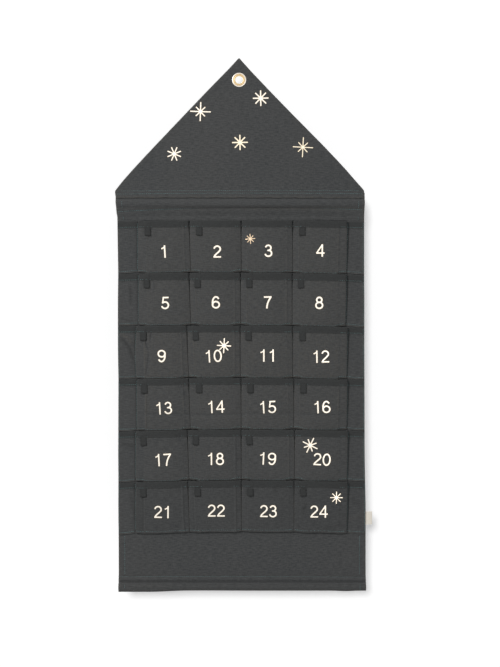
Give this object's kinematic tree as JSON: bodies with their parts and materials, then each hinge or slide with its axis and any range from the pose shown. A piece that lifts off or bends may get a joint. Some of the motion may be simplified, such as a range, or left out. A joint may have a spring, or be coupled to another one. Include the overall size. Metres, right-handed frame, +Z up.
{
  "type": "advent calendar",
  "caption": "Cloth advent calendar shaped like a gabled house, with pleated pockets, tape loops, wooden rods and a hanging eyelet.",
  "frame": {"origin": "centre of the hanging eyelet, halfway through the two layers of the roof", "axes": "+Z up as it hangs, +Y towards the wall along the eyelet's axis, +X to the right seen from the front"},
  "size_m": [0.4662, 0.0194, 0.9668],
  "materials": {
    "canvas": "plain-woven dark grey canvas, matte",
    "tape": "woven cotton tape, darker grey, matte",
    "dowel": "plain turned wood",
    "eyelet_metal": "pale gold, satin",
    "label_cloth": "bare cream ribbon",
    "thread": "grey-green sewing thread",
    "foil_print": "pale gold foil print"
  },
  "bodies": {
    "roof": {"roof_front": "canvas", "roof_back": "canvas", "eyelet_barrel": "eyelet_metal", "eyelet_washer": "eyelet_metal"},
    "pocket_panel": {"body_panel": "canvas", "pocket_strip_1": "canvas", "pocket_binding_1": "tape", "pocket_strip_2": "canvas", "pocket_binding_2": "tape", "pocket_strip_3": "canvas", "pocket_binding_3": "tape", "pocket_strip_4": "canvas", "pocket_binding_4": "tape", "pocket_strip_5": "canvas", "pocket_binding_5": "tape", "pocket_strip_6": "canvas", "pocket_binding_6": "tape"},
    "upper_rod": {"upper_rod": "dowel"},
    "lower_rod": {"lower_rod": "dowel"},
    "tape_loop_01": {"tape_loop_01": "tape"},
    "tape_loop_02": {"tape_loop_02": "tape"},
    "tape_loop_04": {"tape_loop_04": "tape"},
    "tape_loop_05": {"tape_loop_05": "tape"},
    "tape_loop_06": {"tape_loop_06": "tape"},
    "tape_loop_07": {"tape_loop_07": "tape"},
    "tape_loop_08": {"tape_loop_08": "tape"},
    "tape_loop_09": {"tape_loop_09": "tape"},
    "tape_loop_10": {"tape_loop_10": "tape"},
    "tape_loop_11": {"tape_loop_11": "tape"},
    "tape_loop_12": {"tape_loop_12": "tape"},
    "tape_loop_13": {"tape_loop_13": "tape"},
    "tape_loop_14": {"tape_loop_14": "tape"},
    "tape_loop_15": {"tape_loop_15": "tape"},
    "tape_loop_16": {"tape_loop_16": "tape"},
    "tape_loop_17": {"tape_loop_17": "tape"},
    "tape_loop_18": {"tape_loop_18": "tape"},
    "tape_loop_19": {"tape_loop_19": "tape"},
    "tape_loop_21": {"tape_loop_21": "tape"},
    "tape_loop_22": {"tape_loop_22": "tape"},
    "tape_loop_23": {"tape_loop_23": "tape"},
    "tape_loop_24": {"tape_loop_24": "tape"},
    "side_label": {"side_label": "label_cloth"}
  },
  "joints": [
    {"name": "panel_fold", "type": "hinge", "parent": "roof", "child": "pocket_panel", "pos_m": [0.0025, 0.0047, -0.2124], "axis": [1, 0, 0], "range_deg": [0, 175]},
    {"name": "upper_rod_slide", "type": "slide", "parent": "pocket_panel", "child": "upper_rod", "axis": [1, 0, 0], "range_m": [0, 0.42]},
    {"name": "lower_rod_slide", "type": "slide", "parent": "pocket_panel", "child": "lower_rod", "axis": [1, 0, 0], "range_m": [0, 0.42]},
    {"name": "tape_loop_01_lift", "type": "hinge", "parent": "pocket_panel", "child": "tape_loop_01", "pos_m": [-0.16595, -0.01508, -0.2695], "axis": [-1, 0, 0], "range_deg": [0, 150]},
    {"name": "tape_loop_02_lift", "type": "hinge", "parent": "pocket_panel", "child": "tape_loop_02", "pos_m": [-0.07236, -0.01481, -0.2695], "axis": [-1, 0, 0], "range_deg": [0, 150]},
    {"name": "tape_loop_04_lift", "type": "hinge", "parent": "pocket_panel", "child": "tape_loop_04", "pos_m": [0.11483, -0.01427, -0.2695], "axis": [-1, 0, 0], "range_deg": [0, 150]},
    {"name": "tape_loop_05_lift", "type": "hinge", "parent": "pocket_panel", "child": "tape_loop_05", "pos_m": [-0.16786, -0.01481, -0.3641], "axis": [-1, 0, 0], "range_deg": [0, 150]},
    {"name": "tape_loop_06_lift", "type": "hinge", "parent": "pocket_panel", "child": "tape_loop_06", "pos_m": [-0.07522, -0.01441, -0.3641], "axis": [-1, 0, 0], "range_deg": [0, 150]},
    {"name": "tape_loop_07_lift", "type": "hinge", "parent": "pocket_panel", "child": "tape_loop_07", "pos_m": [0.01837, -0.01414, -0.3641], "axis": [-1, 0, 0], "range_deg": [0, 150]},
    {"name": "tape_loop_08_lift", "type": "hinge", "parent": "pocket_panel", "child": "tape_loop_08", "pos_m": [0.11196, -0.01387, -0.3641], "axis": [-1, 0, 0], "range_deg": [0, 150]},
    {"name": "tape_loop_09_lift", "type": "hinge", "parent": "pocket_panel", "child": "tape_loop_09", "pos_m": [-0.17359, -0.014, -0.4587], "axis": [-1, 0, 0], "range_deg": [0, 150]},
    {"name": "tape_loop_10_lift", "type": "hinge", "parent": "pocket_panel", "child": "tape_loop_10", "pos_m": [-0.07904, -0.01387, -0.4587], "axis": [-1, 0, 0], "range_deg": [0, 150]},
    {"name": "tape_loop_11_lift", "type": "hinge", "parent": "pocket_panel", "child": "tape_loop_11", "pos_m": [0.01741, -0.014, -0.4587], "axis": [-1, 0, 0], "range_deg": [0, 150]},
    {"name": "tape_loop_12_lift", "type": "hinge", "parent": "pocket_panel", "child": "tape_loop_12", "pos_m": [0.11483, -0.01427, -0.4587], "axis": [-1, 0, 0], "range_deg": [0, 150]},
    {"name": "tape_loop_13_lift", "type": "hinge", "parent": "pocket_panel", "child": "tape_loop_13", "pos_m": [-0.17168, -0.01427, -0.5533], "axis": [-1, 0, 0], "range_deg": [0, 150]},
    {"name": "tape_loop_14_lift", "type": "hinge", "parent": "pocket_panel", "child": "tape_loop_14", "pos_m": [-0.07236, -0.01481, -0.5533], "axis": [-1, 0, 0], "range_deg": [0, 150]},
    {"name": "tape_loop_15_lift", "type": "hinge", "parent": "pocket_panel", "child": "tape_loop_15", "pos_m": [0.02028, -0.01441, -0.5533], "axis": [-1, 0, 0], "range_deg": [0, 150]},
    {"name": "tape_loop_16_lift", "type": "hinge", "parent": "pocket_panel", "child": "tape_loop_16", "pos_m": [0.11674, -0.01454, -0.5533], "axis": [-1, 0, 0], "range_deg": [0, 150]},
    {"name": "tape_loop_17_lift", "type": "hinge", "parent": "pocket_panel", "child": "tape_loop_17", "pos_m": [-0.17359, -0.014, -0.6479], "axis": [-1, 0, 0], "range_deg": [0, 150]},
    {"name": "tape_loop_18_lift", "type": "hinge", "parent": "pocket_panel", "child": "tape_loop_18", "pos_m": [-0.07808, -0.014, -0.6479], "axis": [-1, 0, 0], "range_deg": [0, 150]},
    {"name": "tape_loop_19_lift", "type": "hinge", "parent": "pocket_panel", "child": "tape_loop_19", "pos_m": [0.01837, -0.01414, -0.6479], "axis": [-1, 0, 0], "range_deg": [0, 150]},
    {"name": "tape_loop_21_lift", "type": "hinge", "parent": "pocket_panel", "child": "tape_loop_21", "pos_m": [-0.17359, -0.014, -0.7425], "axis": [-1, 0, 0], "range_deg": [0, 150]},
    {"name": "tape_loop_22_lift", "type": "hinge", "parent": "pocket_panel", "child": "tape_loop_22", "pos_m": [-0.07522, -0.01441, -0.7425], "axis": [-1, 0, 0], "range_deg": [0, 150]},
    {"name": "tape_loop_23_lift", "type": "hinge", "parent": "pocket_panel", "child": "tape_loop_23", "pos_m": [0.02028, -0.01441, -0.7425], "axis": [-1, 0, 0], "range_deg": [0, 150]},
    {"name": "tape_loop_24_lift", "type": "hinge", "parent": "pocket_panel", "child": "tape_loop_24", "pos_m": [0.11578, -0.01441, -0.7425], "axis": [-1, 0, 0], "range_deg": [0, 150]},
    {"name": "side_label_bend", "type": "hinge", "parent": "pocket_panel", "child": "side_label", "pos_m": [0.2264, 0.00055, -0.7977], "axis": [0, 0, 1], "range_deg": [-80, 80]}
  ]
}
